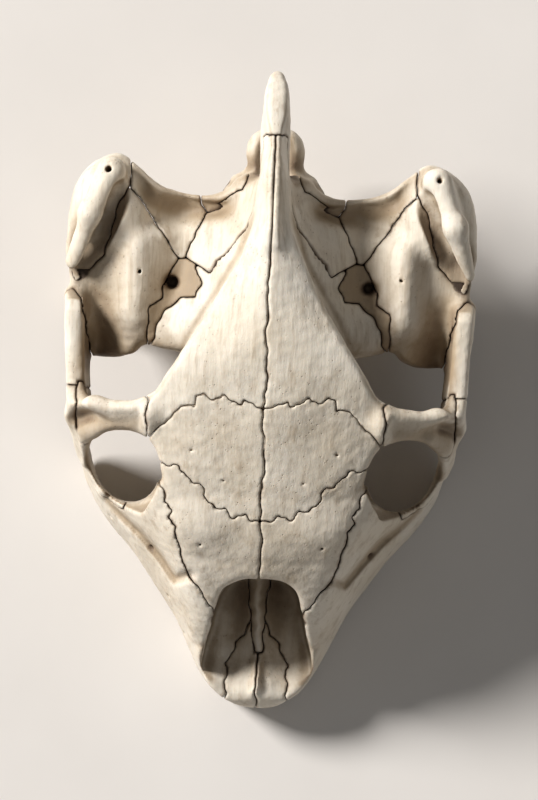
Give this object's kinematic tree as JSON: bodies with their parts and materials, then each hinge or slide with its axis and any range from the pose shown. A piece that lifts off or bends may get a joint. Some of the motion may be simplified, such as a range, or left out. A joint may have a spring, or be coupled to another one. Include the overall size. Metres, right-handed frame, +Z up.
{
  "type": "tortoise skull",
  "caption": "Skull of a large land tortoise without its lower jaw, with open eye sockets, notched temples, a long crest behind and both jaw joints, lying as it rests.",
  "frame": {"origin": "centre of the skull's outline from above, on the floor it rests on", "axes": "+Z up through the skull roof, -Y to the tip of the snout, +X to the skull's left side"},
  "size_m": [0.0962, 0.1497, 0.0622],
  "materials": {
    "bone": "matte"
  },
  "bodies": {
    "root": {"vomer": "bone", "basioccipital": "bone", "basisphenoid": "bone", "supraoccipital": "bone", "right_premaxilla": "bone", "left_premaxilla": "bone", "right_maxilla": "bone", "left_maxilla": "bone", "right_prefrontal": "bone", "left_prefrontal": "bone", "right_frontal": "bone", "left_frontal": "bone", "right_parietal": "bone", "left_parietal": "bone", "right_postorbital": "bone", "left_postorbital": "bone", "right_jugal": "bone", "left_jugal": "bone", "right_quadratojugal": "bone", "left_quadratojugal": "bone", "right_squamosal": "bone", "left_squamosal": "bone", "right_quadrate": "bone", "left_quadrate": "bone", "right_prootic": "bone", "left_prootic": "bone", "right_opisthotic": "bone", "left_opisthotic": "bone", "right_exoccipital": "bone", "left_exoccipital": "bone", "right_pterygoid": "bone", "left_pterygoid": "bone", "right_palatine": "bone", "left_palatine": "bone"}
  },
  "joints": []
}
